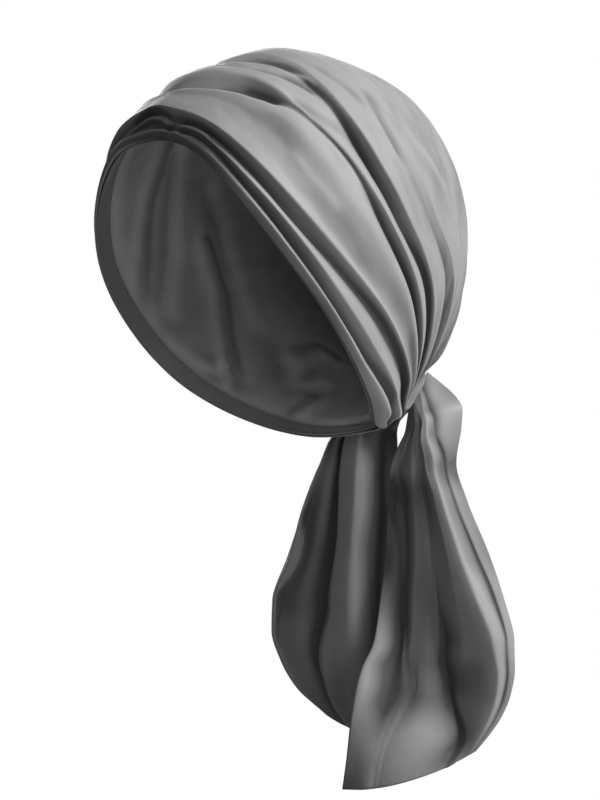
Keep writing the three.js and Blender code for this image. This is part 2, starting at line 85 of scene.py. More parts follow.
# %% Curves through the columns of a table
def smooth_curve(places, values, starts_level=False):
    """A curve through a column of a table that never swings past its values."""
    places = np.asarray(places, float)
    values = np.asarray(values, float)
    rises = np.diff(values) / np.diff(places)
    before, after = rises[:-1], rises[1:]
    same_way = before * after > 0
    slopes = np.concatenate([[0.0 if starts_level else rises[0]], np.zeros(len(before)), rises[-1:]])
    slopes[1:-1] = np.where(same_way, 2 * before * after / np.where(same_way, before + after, 1), 0)

    def at(place):
        place = np.clip(place, places[0], places[-1])
        i = np.clip(np.searchsorted(places, place, side="right") - 1, 0, len(places) - 2)
        width = places[i + 1] - places[i]
        u = (place - places[i]) / width
        start = values[i] * (1 - u) ** 2 * (1 + 2 * u) + slopes[i] * width * u * (1 - u) ** 2
        return start + values[i + 1] * u**2 * (3 - 2 * u) + slopes[i + 1] * width * u**2 * (u - 1)

    return at


def columns_of(names, rows):
    """One curve for each named column after the first, all read at the first."""
    columns = list(zip(*rows))
    return {name: smooth_curve(columns[0], column) for name, column in zip(names.split()[1:], columns[1:])}


def smooth_step(value, start, end):
    """0 before the start, 1 after the end, and a soft way between them."""
    share = np.clip((value - start) / (end - start), 0, 1)
    return share * share * (3 - 2 * share)


print("a smooth step a quarter of the way:", round(float(smooth_step(0.25, 0, 1)), 3))

# %% [markdown]
# The cap and the lining each have a table of rings. A ring leans forward, so it has a height and a
# place for its front and for its back, and half its width. Near the rim the sides bow forward and
# down. Each ring narrows towards the nape, and the first ones are drawn out to the knot.

# %% The rings of the cap and of the lining, in millimetres
RING_COLUMNS = "ring front_y front_z back_y back_z half bow narrow draw"
cap = columns_of(RING_COLUMNS, [
    (0.00, -95, -53, 36, -197, 82, 23, 0.20, 18),
    (0.08, -84, -34, 47, -191, 82, 17, 0.30, 9.5),
    (0.20, -55, -12.5, 59, -184, 80, 9, 0.42, 1.5),
    (0.36, -13, 1.8, 63, -179, 77, 3, 0.50, 0),
    (0.52, 33, -3.5, 67, -174, 70, 0, 0.55, 0),
    (0.68, 71, -32, 70, -170, 54, 0, 0.57, 0),
    (0.84, 85, -80, 74, -165, 38, 0, 0.50, 0),
    (0.95, 93, -125, 77, -162, 19, 0, 0.35, 0),
    (1.00, 83, -157, 83, -157, 0, 0, 0, 0),
])
lining_cap = columns_of(RING_COLUMNS, [
    (0.00, -86, -45, 51, -187, 77, 19, 0.20, 0),
    (0.10, -75, -31, 54, -178, 74, 14, 0.36, 0),
    (0.22, -52, -17, 60, -168, 71, 8, 0.38, 0),
    (0.40, -8, 0, 66, -156, 69, 2, 0.30, 0),
    (0.58, 32, -9, 70, -147, 61, 0, 0.20, 0),
    (0.76, 66, -38, 74, -137, 44, 0, 0.10, 0),
    (0.90, 78, -78, 77, -122, 24, 0, 0, 0),
    (1.00, 79, -104, 79, -104, 0, 0, 0, 0),
])
NARROW_REACH = 0.9  # radians before the nape over which a ring narrows
DRAW_REACH = 0.3  # and over which it is drawn to the knot
DRAW_WAY = (0.94, 0.34)  # backwards and up
LAST_RING = 0.999  # at 1 a ring is a point and has no directions
NEVER_ZERO = 1e-9  # the least that a length is divided by
SMALL_STEP = 0.002  # of a ring or a radian, over which the surface's directions are measured
# The wearer's right side of the rim stands out further than the left, by these shares of its reach.
far_side = smooth_curve(
    [math.radians(degrees) for degrees in (0, 20, 60, 90, 120, 150, 180)],
    [0, 0.038, 0.05, 0.017, 0.031, 0.022, 0],
    starts_level=True,
)
FAR_SIDE_RINGS = 0.3  # rings over which that fades


def ring_point(rings, ring, angle):
    """Points of a cap in millimetres, at a ring and an angle: 0 is the front, pi the nape."""
    front_y, front_z = rings["front_y"](ring), rings["front_z"](ring)
    back_y, back_z = rings["back_y"](ring), rings["back_z"](ring)
    reach_y, reach_z = (front_y - back_y) / 2, (front_z - back_z) / 2
    reach = np.maximum(np.hypot(reach_y, reach_z), NEVER_ZERO)
    rest = np.pi - np.abs(angle)
    narrow = rings["narrow"](ring) * np.exp(-((rest / NARROW_REACH) ** 2))
    draw = rings["draw"](ring) * np.exp(-((rest / DRAW_REACH) ** 2))
    bow = rings["bow"](ring) * np.sin(angle) ** 2 / reach
    wider = 1 + far_side(np.maximum(-angle, 0)) * np.maximum(1 - ring / FAR_SIDE_RINGS, 0)
    return np.stack([
        wider * rings["half"](ring) * np.sin(angle) * (1 - narrow),
        (front_y + back_y) / 2 + wider * (reach_y * np.cos(angle) - bow * reach_z) + draw * DRAW_WAY[0],
        (front_z + back_z) / 2 + wider * (reach_z * np.cos(angle) + bow * reach_y) + draw * DRAW_WAY[1],
    ], axis=-1)


def unit(vectors):
    """The same directions with a length of 1."""
    return vectors / np.maximum(np.linalg.norm(vectors, axis=-1, keepdims=True), NEVER_ZERO)


def raised_point(rings, ring, angle, height, forward=0.0):
    """The same points moved out of the cap by a height, and forward towards the rim."""
    ring = np.clip(ring, 0, LAST_RING)
    further_in = ring_point(rings, np.minimum(ring + SMALL_STEP, 1), angle)
    along = further_in - ring_point(rings, np.maximum(ring - SMALL_STEP, 0), angle)
    round_it = ring_point(rings, ring, angle + SMALL_STEP) - ring_point(rings, ring, angle - SMALL_STEP)
    outward = unit(np.cross(round_it, along))
    forward = np.expand_dims(forward + 0 * height, -1)
    return ring_point(rings, ring, angle) + outward * np.expand_dims(height, -1) - unit(along) * forward


print("rim width in mm", round(float(2 * ring_point(cap, 0.0, np.array(np.pi / 2))[0])))

# %% [markdown]
# A grid is the natural start for cloth: its rows become threads one way and its columns the other.
# Each piece below starts as a bmesh grid, and a function of the grid's two shares puts its points in
# place. The same two shares, times the real size of the cloth, give the UV map that the knit follows.

# %% Cloth from a grid
SAME_POINT = 0.00001  # metres, up to which two corners are one
NEAR_RELIEF = 4  # rows and columns each way that a point's relief is measured over


def relief_of(points, middle, reach):
    """How far each point of a grid stands out from its surroundings, in millimetres."""
    normal = unit(np.cross(np.gradient(points, axis=1), np.gradient(points, axis=0)))
    if np.sum(normal * (points - middle)) < 0:
        normal = -normal
    relief = np.zeros(points.shape[:2])
    for axis in (0, 1):
        count = points.shape[axis]
        steps = range(-reach, reach + 1)
        near = [points.take(np.clip(np.arange(count) + step, 0, count - 1), axis=axis) for step in steps]
        apart = points - sum(near) / len(near)
        relief += np.sum(apart * normal, axis=-1)
    return relief


def spread_grid(place, rows, columns, cloth_size, middle, reach=NEAR_RELIEF, closes=False):
    """A grid whose points place(down, across) puts in millimetres, with faces away from the middle."""
    bm = bmesh.new()
    uv = bm.loops.layers.uv.new("cloth")
    # the relief, which the materials turn into painted shade in the creases and a painted highlight on the
    # crests
    relief = bm.verts.layers.float.new("relief")
    bmesh.ops.create_grid(bm, x_segments=columns - 1, y_segments=rows - 1, size=0.5)
    shares = np.array([(vert.co.y + 0.5, vert.co.x + 0.5) for vert in bm.verts])
    for face in bm.faces:
        for loop in face.loops:
            across, down = loop.vert.co.x + 0.5, loop.vert.co.y + 0.5
            loop[uv].uv = (across * cloth_size[0], down * cloth_size[1])
    points = place(shares[:, 0], shares[:, 1])
    reliefs = relief_of(points.reshape(rows, columns, 3), np.array(middle), reach).ravel()
    reliefs = reliefs - np.median(reliefs)
    for vert, point, height in zip(bm.verts, points, reliefs):
        vert.co = point * MM
        vert[relief] = height
    if closes:
        bmesh.ops.remove_doubles(bm, verts=bm.verts, dist=SAME_POINT)
    bmesh.ops.recalc_face_normals(bm, faces=bm.faces)
    face_out(bm, Vector(middle) * MM)
    return bm


def face_out(bm, middle):
    """Turns the faces of a sheet so that most of them look away from a point."""
    away = sum((face.calc_center_median() - middle).dot(face.normal) * face.calc_area() for face in bm.faces)
    if away < 0:
        bmesh.ops.reverse_faces(bm, faces=bm.faces)


def thicken(bm, thickness):
    """Gives a sheet its thickness, inwards, as a closed wall."""
    bm.normal_update()
    uv = bm.loops.layers.uv["cloth"]
    verts, faces = bm.verts[:], bm.faces[:]
    rims = [loop for face in faces for loop in face.loops if loop.edge.is_boundary]
    copied = bmesh.ops.duplicate(bm, geom=verts + bm.edges[:] + faces)
    twins = copied["vert_map"]
    for vert in verts:
        twins[vert].co = vert.co - vert.normal * thickness
    bmesh.ops.reverse_faces(bm, faces=[copied["face_map"][face] for face in faces])
    for loop in rims:
        here, after = loop.vert, loop.link_loop_next.vert
        places = (loop.link_loop_next[uv].uv.copy(), loop[uv].uv.copy())
        wall = bm.faces.new((after, here, twins[here], twins[after]))
        for corner, place in zip(wall.loops, (places[0], places[1], places[1], places[0])):
            corner[uv].uv = place


def finish_piece(name, bm, material, smooth=True):
    """A mesh object of a bmesh, linked to the scene, with its material."""
    mesh = bpy.data.meshes.new(name)
    bm.to_mesh(mesh)
    bm.free()
    mesh.polygons.foreach_set("use_smooth", [smooth] * len(mesh.polygons))
    piece = bpy.data.objects.new(name, mesh)
    bpy.context.scene.collection.objects.link(piece)
    piece.data.materials.append(material)
    return piece


# %% [markdown]
# The jersey is a fine, smooth knit with a soft sheen. Its colour hardly varies, so most of the look is
# in how light rolls over the folds: a rough surface with a little sheen, a knit too fine to count
# as a bump along the cloth's own directions, and a faint change of tone over a few centimetres. The
# colour also carries painted shade in the creases and a painted highlight on the crests, following the
# relief.

# %% Jersey
PATCHES_TO_A_METRE = 38
FLECKS_TO_A_METRE = 1400
FLECK_SHARE = 0.3  # of the tone, the rest are patches
FUZZ_TO_A_METRE = 260
FUZZ_DEPTH = 0.3  # millimetres
WAVE_LENGTH = 0.314  # metres between two bands of a wave texture at a scale of 1
COURSE_HEIGHT = 0.8  # of a stitch's width
DEEPEST_RELIEF = -1.3  # millimetres, where the painted shade in the creases is full
HIGHEST_RELIEF = 1  # millimetres, where the painted highlight on the crests is full
# how much lighter the crests' colour is painted, as a painted highlight
PAINTED_CREST_HIGHLIGHT = 1.2


def node(tree, kind, **settings):
    """A shader node with its sockets and properties set by name."""
    made = tree.nodes.new(kind)
    for name, value in settings.items():
        if name in made.inputs:
            made.inputs[name].default_value = value
        else:
            setattr(made, name, value)
    return made


def jersey(name, dark, light, roughness, sheen, knit_mm, knit_depth, painted_crease_shade):
    """A knitted cloth: rows of stitches as a bump, a faint change of tone, painted shade in the creases and a
    painted highlight on the crests.
    """
    material = bpy.data.materials.new(name)
    material.use_nodes = True
    tree = material.node_tree
    shader = tree.nodes["Principled BSDF"]
    shader.inputs["Roughness"].default_value = roughness
    shader.inputs["Specular IOR Level"].default_value = 0.35
    shader.inputs["Sheen Weight"].default_value = sheen
    shader.inputs["Sheen Roughness"].default_value = 0.45
    link = tree.links.new
    place = node(tree, "ShaderNodeTexCoord")
    tone = node(tree, "ShaderNodeTexNoise", Scale=PATCHES_TO_A_METRE, Detail=4.0, Roughness=0.55)
    link(place.outputs["Object"], tone.inputs["Vector"])
    fleck = node(tree, "ShaderNodeTexNoise", Scale=FLECKS_TO_A_METRE, Detail=2.0)
    link(place.outputs["Object"], fleck.inputs["Vector"])
    both = node(tree, "ShaderNodeMix", data_type="FLOAT", Factor=FLECK_SHARE)
    link(tone.outputs["Fac"], both.inputs["A"])
    link(fleck.outputs["Fac"], both.inputs["B"])
    ramp = node(tree, "ShaderNodeValToRGB")
    for element, position, tint in zip(ramp.color_ramp.elements, (0.3, 0.7), (dark, light)):
        element.position = position
        element.color = (*tint, 1)
    link(both.outputs["Result"], ramp.inputs["Fac"])
    # Painted shade and painted highlight: the relief scales the colour down in the creases and up on the
    # crests.
    relief = node(tree, "ShaderNodeAttribute", attribute_name="relief")
    painted_relief_shade = node(tree, "ShaderNodeMapRange")
    painted_relief_shade.inputs["From Min"].default_value = DEEPEST_RELIEF
    painted_relief_shade.inputs["From Max"].default_value = HIGHEST_RELIEF
    painted_relief_shade.inputs["To Min"].default_value = painted_crease_shade
    painted_relief_shade.inputs["To Max"].default_value = PAINTED_CREST_HIGHLIGHT
    link(relief.outputs["Fac"], painted_relief_shade.inputs["Value"])
    colour_with_painted_shade = node(tree, "ShaderNodeVectorMath", operation="SCALE")
    link(ramp.outputs["Color"], colour_with_painted_shade.inputs[0])
    link(painted_relief_shade.outputs["Result"], colour_with_painted_shade.inputs["Scale"])
    link(colour_with_painted_shade.outputs["Vector"], shader.inputs["Base Color"])
    ribs = node(tree, "ShaderNodeTexWave", wave_type="BANDS", bands_direction="X", Distortion=0.6)
    ribs.inputs["Scale"].default_value = WAVE_LENGTH / (knit_mm * MM)
    courses = node(tree, "ShaderNodeTexWave", wave_type="BANDS", bands_direction="Y", Distortion=0.8)
    courses.inputs["Scale"].default_value = WAVE_LENGTH / (knit_mm * COURSE_HEIGHT * MM)
    link(place.outputs["UV"], ribs.inputs["Vector"])
    link(place.outputs["UV"], courses.inputs["Vector"])
    knit = node(tree, "ShaderNodeMath", operation="MULTIPLY")
    link(ribs.outputs["Fac"], knit.inputs[0])
    link(courses.outputs["Fac"], knit.inputs[1])
    fuzz = node(tree, "ShaderNodeTexNoise", Scale=FUZZ_TO_A_METRE, Detail=3.0)
    link(place.outputs["Object"], fuzz.inputs["Vector"])
    knit_bump = node(tree, "ShaderNodeBump", Strength=0.5, Distance=knit_depth * MM)
    link(knit.outputs["Value"], knit_bump.inputs["Height"])
    fuzz_bump = node(tree, "ShaderNodeBump", Strength=0.4, Distance=FUZZ_DEPTH * MM)
    link(fuzz.outputs["Fac"], fuzz_bump.inputs["Height"])
    link(knit_bump.outputs["Normal"], fuzz_bump.inputs["Normal"])
    link(fuzz_bump.outputs["Normal"], shader.inputs["Normal"])
    return material


# The last number of each is the share of the colour left in the deepest creases, as painted shade.
outer_jersey = jersey(
    "outer_jersey", (0.168, 0.168, 0.172), (0.206, 0.206, 0.211),
    roughness=0.62, sheen=0.25, knit_mm=0.7, knit_depth=0.05, painted_crease_shade=0.3,
)
inner_jersey = jersey(
    "inner_jersey", (0.35, 0.35, 0.357), (0.4, 0.4, 0.408),
    roughness=0.75, sheen=0.12, knit_mm=0.8, knit_depth=0.06, painted_crease_shade=0.6,
)
print("cloth materials", [material.name for material in bpy.data.materials])

# %% [markdown]
# The wrap's folds run round the cap like the lines of a map and come together at the nape. Each row
# of the table below is one such line: the ring that it runs along at eight places from the front to
# the nape, and how far the cloth stands out or in there. Pulled cloth falls in steps. Each step
# rises steeply out of a crease, on the side that looks at the rim, turns over at a sharp edge and
# then sinks slowly to the next crease. Light from behind the head leaves the steep sides dark. The
# number after a line's form is its lean, the millimetres that it hangs forward over the crease there.

# %% The folds of the wrap
FOLD_PLACES = [math.radians(degrees) for degrees in (0, 15, 30, 50, 70, 90, 115, 140)]
FOLDS = [
    ("flat", 0, (0, 0, 0, 0, 0, 0, 0, 0),
     (-3.2, -3.2, -3, -2.4, -2, -1.6, -1.3, -1)),
    ("ridge", 0, (0.01, 0.009, 0.01, 0.009, 0.011, 0.012, 0.012, 0.045),
     (-0.6, -0.6, -0.6, -0.4, -0.2, 0, 1.2, 1.8)),
    ("groove", 0, (0.02, 0.016, 0.023, 0.021, 0.023, 0.026, 0.036, 0.072),
     (-3.4, -3.4, -3.4, -3.6, -4.2, -5, -5.2, -4)),
    ("edge", 0.5, (0.034, 0.025, 0.031, 0.032, 0.038, 0.045, 0.055, 0.095),
     (-0.8, -1, -0.8, -0.4, 0.2, 1, 1.8, 2.2)),
    ("groove", 0, (0.05, 0.035, 0.042, 0.047, 0.055, 0.077, 0.118, 0.163),
     (-3.8, -4.2, -4.6, -5, -5, -4.6, -4.2, -3.4)),
    ("edge", 2.4, (0.066, 0.058, 0.062, 0.068, 0.079, 0.099, 0.138, 0.185),
     (2, 2, 2.2, 2.4, 2.4, 2.4, 2.4, 2.2)),
    ("flat", 0.4, (0.088, 0.092, 0.11, 0.128, 0.124, 0.132, 0.162, 0.197),
     (0.8, 0.4, -0.4, -1.5, -1.7, -1.5, 0.3, 1.4)),
    ("ridge", 0.4, (0.096, 0.106, 0.13, 0.168, 0.172, 0.176, 0.205, 0.225),
     (0.9, 0.8, 0.6, 1, 1.4, 2.6, 2.6, 2.2)),
    ("groove", 0, (0.104, 0.116, 0.146, 0.187, 0.211, 0.219, 0.254, 0.278),
     (-1.6, -2.4, -3.2, 0, -0.4, -3.8, -5.4, -4.8)),
    ("edge", 2, (0.15, 0.165, 0.18, 0.206, 0.228, 0.243, 0.28, 0.308),
     (2, 2.2, 2.2, 1.6, 1.4, 1.6, 1.8, 1.6)),
    ("groove", 0, (0.21, 0.235, 0.255, 0.262, 0.262, 0.272, 0.338, 0.37),
     (-0.8, -1.4, -1.8, -2, -5.2, -4.6, -3.2, -2)),
    ("edge", 2.6, (0.245, 0.272, 0.286, 0.287, 0.289, 0.305, 0.372, 0.415),
     (0.7, 1.2, 1.6, 1.6, 2.2, 2.2, 1.8, 1.6)),
    ("groove", 0, (0.36, 0.36, 0.36, 0.36, 0.36, 0.38, 0.465, 0.5),
     (0.4, 0.4, 0.4, 0.4, 0.1, -1, -1.4, -1)),
    ("edge", 0.4, (0.4, 0.4, 0.4, 0.4, 0.39, 0.41, 0.515, 0.55),
     (0.6, 0.6, 0.6, 0.6, 0.7, 1.1, 1.2, 0.9)),
    ("flat", 0, (0.55, 0.55, 0.55, 0.55, 0.55, 0.56, 0.68, 0.68),
     (0, 0, 0, 0, 0, 0, 0, 0)),
    ("flat", 0, (1, 1, 1, 1, 1, 1, 1, 1),
     (0, 0, 0, 0, 0, 0, 0, 0)),
]
CROWN_LENGTH = 330  # millimetres from the rim over the crown to the knot
print("lines of folds", len(FOLDS))

# %% [markdown]
# The mesh has its rows along the folds, a few between one line of the table and the next, so that a
# crease falls on a row and stays sharp. Further up the smooth crown the rows may lie wider apart.

# %% Rows of the mesh between the folds
FOLD_STEP = 1.5  # millimetres between rows of the mesh among the folds
CROWN_STEP = 4.0  # and on the smooth crown
CROWN_FROM = 60  # millimetres of a gap between two lines after which it counts as smooth crown
FEWEST_STEPS = 4  # between one line and the next
NAPE_FADE = 0.25  # what is left of the folds' heights at the nape
WRAP_COLUMNS = 188
NAPE_CROWDING = 0.25  # how much closer together columns lie at the nape, as a share


def fold_heights(here, next_one, form_here, form_next, share):
    """The way from one height to the next: creased at a groove, sharp at an edge, round at a ridge."""
    turn = (1 - np.cos(np.pi * share)) / 2
    if form_here in ("groove", "edge"):
        turn = np.sin(np.pi * share / 2)
    if form_next == "groove":
        turn = 1 - np.cos(np.pi * share / 2)
    if form_here == "groove" and form_next == "edge":
        turn = share
    return here + (next_one - here) * turn


def angles_round(count):
    """Angles from one side of the nape round to the other, closer together near the nape."""
    side = np.linspace(-1, 1, count)
    share = np.abs(side)
    return np.sign(side) * np.pi * share * (1 + NAPE_CROWDING * (1 - share))


def folded_rows(folds, places, at, length, step, smooth_above):
    """Position, height and lean of each row of the mesh, where its columns are at the given values."""
    lines = []
    for form, lean, positions, heights in folds:
        position = smooth_curve(places, positions, starts_level=True)(at)
        lines.append((form, lean, position, smooth_curve(places, heights, starts_level=True)(at)))
    rows = []
    for (form, lean, position, height), after in zip(lines, lines[1:]):
        widest = float(np.max(after[2] - position)) * length
        coarse = max(0, widest - smooth_above)
        steps = max(FEWEST_STEPS, math.ceil((widest - coarse) / step + coarse / CROWN_STEP))
        for i in range(steps):
            share = i / steps
            turn = (1 - math.cos(math.pi * share)) / 2
            rows.append((
                position + (after[2] - position) * share,
                fold_heights(height, after[3], form, after[0], share),
                lean + (after[1] - lean) * turn + 0 * at,
            ))
    _, lean, position, height = lines[-1]
    rows.append((position, height, lean + 0 * at))
    return [np.array(column) for column in zip(*rows)]


wrap_angles = angles_round(WRAP_COLUMNS + 1)
wrap_side = np.abs(wrap_angles)
wrap_rows = folded_rows(FOLDS, FOLD_PLACES, wrap_side, CROWN_LENGTH, FOLD_STEP, CROWN_FROM)
wrap_rings, wrap_heights, wrap_leans = wrap_rows
nape_fade = 1 - (1 - NAPE_FADE) * smooth_step(wrap_side, FOLD_PLACES[-1], np.pi)
wrap_heights = wrap_heights * nape_fade
wrap_leans = wrap_leans * nape_fade
print("wrap mesh", len(wrap_rings), "rows of", WRAP_COLUMNS)

# %% [markdown]
# Smaller marks are drawn over the folds like strokes of a brush: a height, a width and a few places
# to pass through. Faint noise that is longer along the folds than across them breaks up the rest.

# %% Strokes and wrinkles
ACROSS_REACH = 75  # millimetres to a radian round the cap
FAR_OFF = 1e6  # millimetres, further than any stroke
WRINKLE = 0.45  # millimetres
# Two sizes of wrinkle: their share, how many to a radian and to the way over the crown, and a seed.
WRINKLE_SIZES = [(1, 2.2, 16, 0), (0.5, 6, 50, 5)]


def strokes_over(strokes, angle, ring, length):
    """Small ridges and creases: each stroke is a height, a width in mm and the places that it joins."""
    total = np.zeros_like(ring)
    for height, width, places in strokes:
        corners = [(math.radians(degrees) * ACROSS_REACH, place * length) for degrees, place in places]
        across, along = angle * ACROSS_REACH, ring * length
        nearest = np.full_like(ring, FAR_OFF)
        for (x0, y0), (x1, y1) in zip(corners, corners[1:]):
            way = (x1 - x0, y1 - y0)
            reach = way[0] ** 2 + way[1] ** 2
            share = np.clip(((across - x0) * way[0] + (along - y0) * way[1]) / reach, 0, 1)
            nearest = np.minimum(nearest, np.hypot(across - x0 - share * way[0], along - y0 - share * way[1]))
        total += height * np.exp(-((nearest / width) ** 2))
    return total


def fine_wrinkles(angle, ring, seed):
    """Faint unevenness, longer along the folds than across them."""
    return np.array([
        sum(
            share * noise.noise(Vector((round_it * a, over_it * r, seed + other)))
            for share, round_it, over_it, other in WRINKLE_SIZES
        )
        for a, r in zip(angle.ravel(), ring.ravel())
    ]).reshape(angle.shape)


WRAP_STROKES = [
    (0.6, 2.5, [(69, 0.446), (82, 0.489), (98, 0.496)]),
    (-0.9, 4, [(50, 0.37), (61, 0.359), (71, 0.358)]),
    (1, 2.2, [(15, 0.2), (19, 0.215), (26, 0.236), (33, 0.25), (40, 0.269)]),
    (-0.9, 2, [(12, 0.185), (23, 0.202), (36, 0.237), (43, 0.251)]),
    (3.4, 9, [(148, 0.07), (156, 0.12), (164, 0.17)]),
    (-1.6, 4, [(34, 0.16), (37, 0.165), (41, 0.17)]),
    (0.8, 3, [(30, 0.185), (42, 0.195), (50, 0.2)]),
    (-0.8, 4, [(46, 0.205), (52, 0.222), (58, 0.238)]),
    (0.7, 3, [(60, 0.13), (68, 0.13), (76, 0.136)]),
    (-0.7, 4, [(20, 0.27), (35, 0.31), (50, 0.335)]),
]
LEFT_STROKES = [
    (1.4, 1.6, [(15, 0), (16, 0.012), (19, 0.026), (25, 0.034), (33, 0.036)]),
    (-1.8, 1.6, [(11, 0), (12, 0.016), (16, 0.034), (24, 0.045)]),
    (-1.5, 1.5, [(8, 0.028), (0, 0.03), (-10, 0.026), (-24, 0.022), (-40, 0.02)]),
    (0.9, 1.5, [(6, 0.04), (-4, 0.042), (-16, 0.036), (-30, 0.034)]),
]
WRAP_SEED = 3
every_angle = wrap_angles + 0 * wrap_rings
wrap_heights = wrap_heights + strokes_over(WRAP_STROKES, wrap_side, wrap_rings, CROWN_LENGTH)
wrap_heights = wrap_heights + strokes_over(LEFT_STROKES, every_angle, wrap_rings, CROWN_LENGTH)
wrap_heights = wrap_heights + WRINKLE * fine_wrinkles(every_angle, wrap_rings, WRAP_SEED) * nape_fade
print("strokes on the wrap", len(WRAP_STROKES) + len(LEFT_STROKES))

# %% [markdown]
# On the wearer's left the hem rolls inwards and the creases above it are deep. On the right they are
# shallower, because there the lining comes close behind them.

# %% The roll of the hem
TUCK = 4  # millimetres that the hem is rolled in
TUCK_RINGS = 0.045  # over which the roll ends
TUCK_FALL = 1.5  # above 1, it ends sooner
TUCK_GROWS = (-0.2, 0.35)  # radians over which it comes in at the front
TUCK_SHRINKS = (1.6, 2.3)  # and over which it lessens towards the nape
TUCK_LOSS = 0.75  # by this share
TUCK_SHIFT = (0.004, 0.004, 0.004, 0.002, 0.006, 0.013, 0.018, 0.03)  # rings that the hem moves in by
SHALLOW_DEPTH = 2.2  # millimetres, past which the right side's creases are filled
SHALLOW_SHARE = 0.85  # by this share
SHALLOW_GROWS = (0.15, 0.7)  # radians to the right of the front
SHALLOW_ENDS = (0.12, 0.2)  # rings
tuck_shift = smooth_curve(FOLD_PLACES, TUCK_SHIFT, starts_level=True)


def near_tuck(ring, angle):
    """How much of the hem's inward roll there is at a ring and an angle, from 0 to 1."""
    left_side = smooth_step(angle, *TUCK_GROWS) * (1 - TUCK_LOSS * smooth_step(angle, *TUCK_SHRINKS))
    return left_side * np.maximum(0, 1 - ring / TUCK_RINGS) ** TUCK_FALL


shallow = smooth_step(-wrap_angles, *SHALLOW_GROWS) * (1 - smooth_step(wrap_rings, *SHALLOW_ENDS))
too_deep = np.minimum(wrap_heights + SHALLOW_DEPTH, 0)
wrap_heights = wrap_heights - SHALLOW_SHARE * shallow * too_deep
wrap_tuck = near_tuck(wrap_rings, wrap_angles)
wrap_heights = wrap_heights - TUCK * wrap_tuck
wrap_rings = wrap_rings + tuck_shift(wrap_side) * wrap_tuck
print("hem rolled in by mm", round(float(TUCK * wrap_tuck.max()), 1))

# %% [markdown]
# The wrap is one cloth that is laid over the whole head, and its two sides meet at the nape. A grid with
# all the folds is laid on the rings, its first and last column are merged, and the sheet gets its
# thickness inwards, so that the folds on the outside keep their shape.

# %% The wrap
HEAD_MIDDLE = (0, 0, -90)
WRAP_ROWS = len(wrap_rings)
WRAP_CLOTH = 1.2  # millimetres thick
WRAP_SIZE = (0.56, 0.33)  # metres of the flat cloth, which the knit is laid out on
WRAP_RELIEF = 9


def place_wrap(down, across):
    """Points of the wrap at shares of the way from the rim to the knot, and round the cap."""
    row = np.rint(down * (WRAP_ROWS - 1)).astype(int)
    column = np.rint(across * WRAP_COLUMNS).astype(int)
    ring = wrap_rings[row, column]
    return raised_point(cap, ring, wrap_angles[column], wrap_heights[row, column], wrap_leans[row, column])


wrap_grid = (WRAP_ROWS, WRAP_COLUMNS + 1)
wrap_bm = spread_grid(place_wrap, *wrap_grid, WRAP_SIZE, HEAD_MIDDLE, reach=WRAP_RELIEF, closes=True)
thicken(wrap_bm, WRAP_CLOTH * MM)
wrap = finish_piece("wrap_cloth", wrap_bm, outer_jersey)
print("wrap faces", len(wrap.data.polygons))

# %% [markdown]
# The hem is turned to the inside of the rim and stitched down. It is a narrow strip of its own here,
# which follows the underside of the wrap's first rows, so that it rolls inwards where they do.

# %% The rim band
BAND_WIDTH = 9  # millimetres
BAND_LAST_RING = 0.034  # the furthest in that it reaches
BAND_LEAN = 2.2  # millimetres that its far edge lies deeper than its near one
BAND_ROWS = 16
BAND_COLUMNS = 721
BAND_SIZE = (0.56, 0.009)
BAND_CLOTH = 0.8
GAP = 0.3  # between the wrap and the band
STITCH_DEPTH = 0.12
STITCHES = 180  # round the rim
STITCHED = (0.7, 0.95)  # shares of the band's width that the stitches lie between
rim_heights = smooth_curve(FOLD_PLACES, FOLDS[0][3], starts_level=True)


def ring_in_from_rim(distance, angle):
    """The ring that lies a distance in millimetres in from the rim."""
    first = ring_point(cap, SMALL_STEP + 0 * angle, angle) - ring_point(cap, 0 * angle, angle)
    speed = np.linalg.norm(first, axis=-1) / SMALL_STEP
    return np.minimum(distance / speed, BAND_LAST_RING * distance / BAND_WIDTH)


def under_rim(distance, angle, deeper):
    """Points inside the rim, at a distance in from its edge and a depth under the wrap's cloth."""
    ring = ring_in_from_rim(distance, angle)
    tuck = near_tuck(ring, angle)
    height = rim_heights(np.abs(angle)) - TUCK * tuck - WRAP_CLOTH - deeper
    return raised_point(cap, ring + tuck_shift(np.abs(angle)) * tuck, angle, height)


def place_band(down, across):
    """Points of the band at shares of its width and of the way round."""
    angle = np.pi * (2 * across - 1)
    stitches = STITCH_DEPTH * np.sin(angle * STITCHES) * (down > STITCHED[0]) * (down < STITCHED[1])
    return under_rim(down * BAND_WIDTH, angle, GAP + BAND_LEAN * down**2 + stitches)


band_bm = spread_grid(place_band, BAND_ROWS, BAND_COLUMNS, BAND_SIZE, HEAD_MIDDLE, closes=True)
thicken(band_bm, BAND_CLOTH * MM)
band = finish_piece("rim_band_cloth", band_bm, outer_jersey)
print("rim band faces", len(band.data.polygons))

# %% [markdown]
# The lining is a smooth cap inside the wrap. Its edge lies under the hem, and over the first rings it
# leads from there to its own form. A few soft creases cross its far side. It is seen from the inside
# alone, so it stays a single layer.

